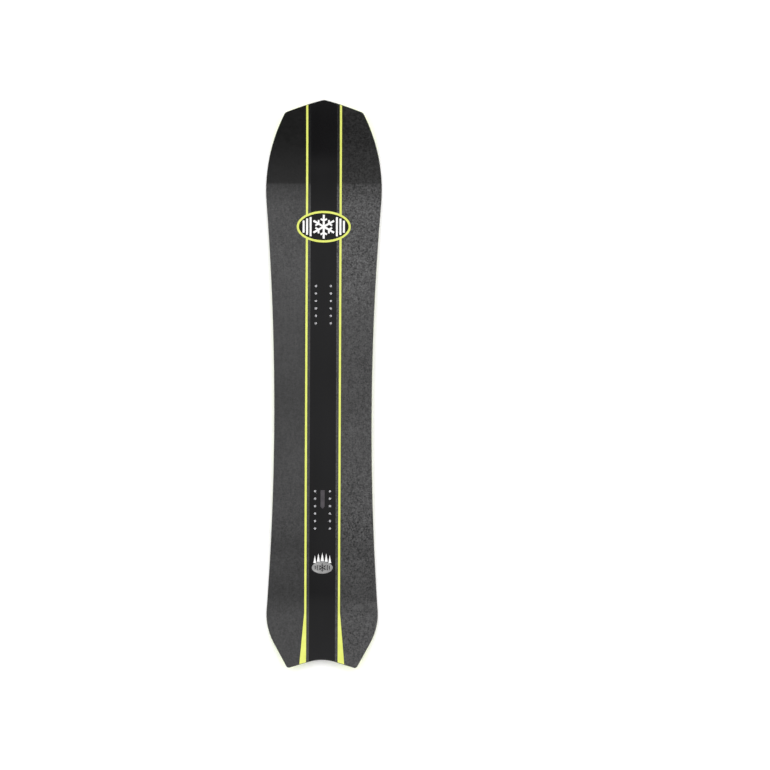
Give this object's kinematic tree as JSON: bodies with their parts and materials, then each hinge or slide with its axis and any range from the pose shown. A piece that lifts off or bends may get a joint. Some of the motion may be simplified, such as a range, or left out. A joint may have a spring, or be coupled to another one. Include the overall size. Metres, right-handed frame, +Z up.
{
  "type": "snowboard",
  "caption": "Bare directional snowboard with a pointed upturned nose, a notched tail, steel edges and threaded inserts for bindings.",
  "frame": {"origin": "under the middle of the board's length and width, level with the lowest line of its base", "axes": "+Y lengthwise towards the nose, +X across towards the board's right edge seen from above, +Z up from the base to the topsheet"},
  "size_m": [0.3112, 1.52, 0.0452],
  "materials": {
    "topsheet": "fine-grained satin nylon with printed black band and yellow-green pinstripes",
    "base_neon": "sintered polyethylene, fine structure ground lengthwise",
    "base_black": "sintered polyethylene, fine structure ground lengthwise",
    "edge_steel": "ground",
    "insert_steel": "machined, threaded bore",
    "sidewall": "planed",
    "spacer": "planed",
    "core_light_wood": "planed, straight grain",
    "core_dense_wood": "planed, straight grain",
    "laminate": "glass cloth in epoxy",
    "reinforcement": "woven glass mat",
    "rubber": "smooth"
  },
  "bodies": {
    "root": {"base_badge_field": "base_neon", "base_badge_motif": "base_black", "base_badge_ring": "base_black", "base_centre_stripe": "base_black", "base_panel_left": "base_neon", "base_panel_right": "base_neon", "core_stringer_01": "core_light_wood", "core_stringer_02": "core_light_wood", "core_stringer_03": "core_dense_wood", "core_stringer_04": "core_light_wood", "core_stringer_05": "core_dense_wood", "core_stringer_06": "core_light_wood", "core_stringer_07": "core_dense_wood", "core_stringer_08": "core_light_wood", "core_stringer_09": "core_dense_wood", "core_stringer_10": "core_light_wood", "core_stringer_11": "core_light_wood", "insert_mat_front": "reinforcement", "insert_mat_rear": "reinforcement", "inserts_front_left": "insert_steel", "inserts_front_right": "insert_steel", "inserts_rear_left": "insert_steel", "inserts_rear_right": "insert_steel", "lower_laminate": "laminate", "nose_spacer": "spacer", "rubber_strip_left": "rubber", "rubber_strip_right": "rubber", "sidewall_left": "sidewall", "sidewall_right": "sidewall", "steel_edge_left": "edge_steel", "steel_edge_right": "edge_steel", "tail_spacer": "spacer", "topsheet": "topsheet", "upper_laminate": "laminate"}
  },
  "joints": []
}
